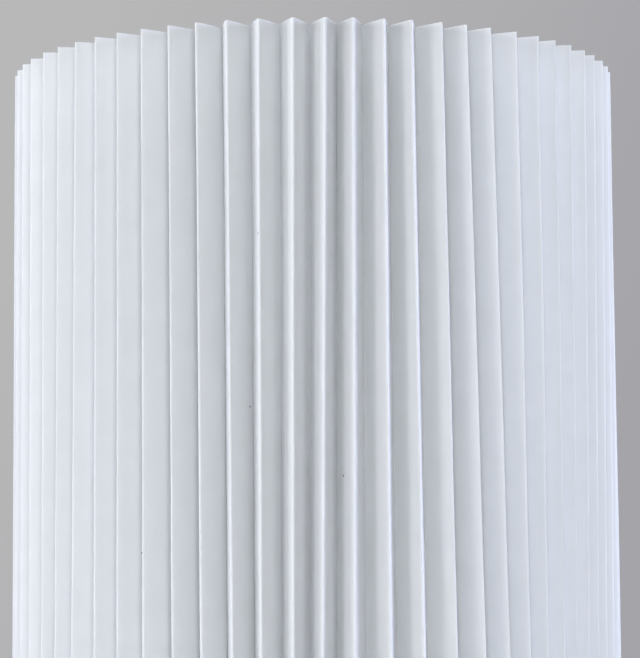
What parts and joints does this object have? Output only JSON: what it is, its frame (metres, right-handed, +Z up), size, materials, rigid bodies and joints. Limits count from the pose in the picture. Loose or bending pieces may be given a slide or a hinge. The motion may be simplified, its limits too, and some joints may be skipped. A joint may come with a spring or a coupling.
{
  "type": "table lamp",
  "caption": "Cylinder table lamp: white pleated paper shade on a wire frame, standing on a turned wooden base with a dimmer knob and a screw-in bulb.",
  "frame": {"origin": "on the table, under the middle of the base", "axes": "+Z up, -Y front where the knob is, +X right"},
  "size_m": [0.264, 0.2842, 0.4033],
  "materials": {
    "paper": "matte pleated lamp paper",
    "frame_wire": "white powder coat",
    "ash_wood": "turned and oiled",
    "cover_steel": "black powder coat",
    "screw_steel": "zinc plated",
    "rubber": "moulded, matte",
    "ballast_iron": "rolled plate",
    "zinc_steel": "zinc plated",
    "brass": "satin",
    "holder_plastic": "moulded",
    "porcelain": "unglazed",
    "contact_brass": "stamped",
    "bulb_nickel": "nickel plated",
    "bulb_black": "black glass",
    "bulb_white": "moulded",
    "opal": "opal diffuser",
    "board_white": "white solder mask",
    "led_yellow": "silicone dome",
    "module_plastic": "moulded",
    "lead_brown": "insulation",
    "lead_blue": "insulation",
    "lead_black": "insulation",
    "block_nylon": "moulded",
    "gland_plastic": "moulded"
  },
  "bodies": {
    "base": {"ballast_disc": "ballast_iron", "base_cover": "cover_steel", "centre_contact": "contact_brass", "cover_screws": "screw_steel", "dimmer_bush": "brass", "dimmer_module": "module_plastic", "dimmer_nut": "zinc_steel", "dimmer_washer": "zinc_steel", "gland_dome_nut": "gland_plastic", "gland_lock_nut": "gland_plastic", "holder_cap": "holder_plastic", "holder_core": "porcelain", "holder_entry_nut": "brass", "holder_grub_screw": "screw_steel", "holder_screw_shell": "contact_brass", "holder_skirt": "holder_plastic", "holder_terminal_screws": "screw_steel", "inlet_gland": "gland_plastic", "lead_clamp": "gland_plastic", "lead_clamp_screws": "screw_steel", "lead_live": "lead_brown", "lead_neutral": "lead_blue", "lead_switched": "lead_black", "plinth_ring": "ash_wood", "plinth_top": "ash_wood", "rubber_foot_1": "rubber", "rubber_foot_2": "rubber", "rubber_foot_3": "rubber", "rubber_foot_4": "rubber", "stem_flange": "brass", "stem_nut": "zinc_steel", "stem_sleeve": "brass", "stem_tube": "zinc_steel", "stem_washer": "zinc_steel", "terminal_block": "block_nylon", "terminal_block_screws": "screw_steel"},
    "shade": {"paper_strip_1": "paper", "paper_strip_2": "paper", "paper_strip_3": "paper", "paper_strip_4": "paper", "rim_ring": "frame_wire", "hem_ring": "frame_wire", "frame_upright_1": "frame_wire", "frame_upright_2": "frame_wire", "frame_upright_3": "frame_wire", "frame_upright_4": "frame_wire"},
    "knob": {"dimmer_knob": "ash_wood", "dimmer_shaft": "zinc_steel", "pointer_pin": "brass", "knob_grub_screw": "screw_steel"},
    "bulb_foot": {"bulb_tip_contact": "bulb_nickel", "bulb_insulator": "bulb_black"},
    "bulb": {"bulb_screw_cap": "bulb_nickel", "bulb_collar": "bulb_white", "bulb_globe": "opal", "led_board": "board_white", "led_chips": "led_yellow"}
  },
  "joints": [
    {"name": "shade_lift", "type": "slide", "parent": "base", "child": "shade", "axis": [0, 0, 1], "range_m": [0, 0.3]},
    {"name": "knob_turn", "type": "hinge", "parent": "base", "child": "knob", "pos_m": [0, -0.129, 0.02], "axis": [0, 1, 0], "range_deg": [0, 270]},
    {"name": "bulb_rise", "type": "slide", "parent": "base", "child": "bulb_foot", "axis": [0, 0, 1], "range_m": [0, 0.0109]},
    {"name": "bulb_turn", "type": "hinge", "parent": "bulb_foot", "child": "bulb", "pos_m": [0, 0, 0.17], "axis": [0, 0, 1], "range_deg": [0, 1080]}
  ],
  "couplings": [
    {"joint": "bulb_rise", "follows": "bulb_turn", "m_per_rad": 0.00057757}
  ]
}
